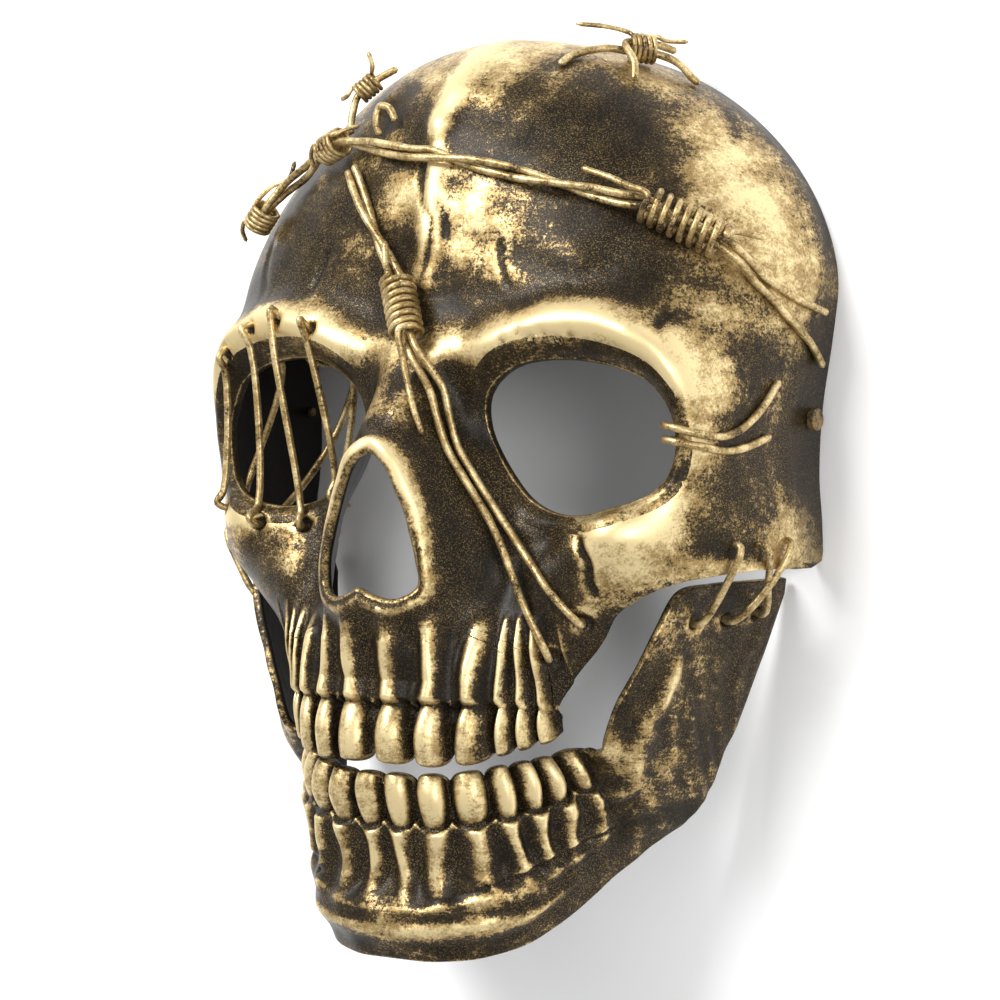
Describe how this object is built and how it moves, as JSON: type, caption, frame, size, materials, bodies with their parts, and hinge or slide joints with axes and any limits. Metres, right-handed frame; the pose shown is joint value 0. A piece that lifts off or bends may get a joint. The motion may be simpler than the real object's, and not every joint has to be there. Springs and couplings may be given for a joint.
{
  "type": "skull mask",
  "caption": "Rigid full-face skull mask in antique gold with a laced-on jaw, one eye laced shut and barbed wire over the brow, crown and nose",
  "frame": {"origin": "under the middle of the mask, in the plane of its rear rim", "axes": "+Z out of the face, +Y towards the crown, +X towards the viewer's right"},
  "size_m": [0.1872, 0.2636, 0.0976],
  "materials": {
    "antique_gold_shell": "cast resin, near-black undercoat with pale antique gold brushed over the ridges",
    "antique_gold_wire": "soft wire and cord painted the same antique gold over black"
  },
  "bodies": {
    "root": {"skull_shell": "antique_gold_shell", "jaw_shell": "antique_gold_shell", "temple_stud_left": "antique_gold_wire", "temple_stud_right": "antique_gold_wire", "barb_crown": "antique_gold_wire", "barb_forehead": "antique_gold_wire", "barb_junction": "antique_gold_wire", "barb_nose": "antique_gold_wire", "barb_side": "antique_gold_wire", "barb_top": "antique_gold_wire", "hook_brow": "antique_gold_wire", "orbit_loop_lower": "antique_gold_wire", "orbit_loop_upper": "antique_gold_wire", "wire_brow_lower": "antique_gold_wire", "wire_brow_upper": "antique_gold_wire", "wire_crown_long": "antique_gold_wire", "wire_crown_short": "antique_gold_wire", "wire_nose_inner": "antique_gold_wire", "wire_nose_outer": "antique_gold_wire", "wire_top": "antique_gold_wire", "eye_lace": "antique_gold_wire", "jaw_lace_left": "antique_gold_wire", "jaw_lace_right": "antique_gold_wire"}
  },
  "joints": []
}
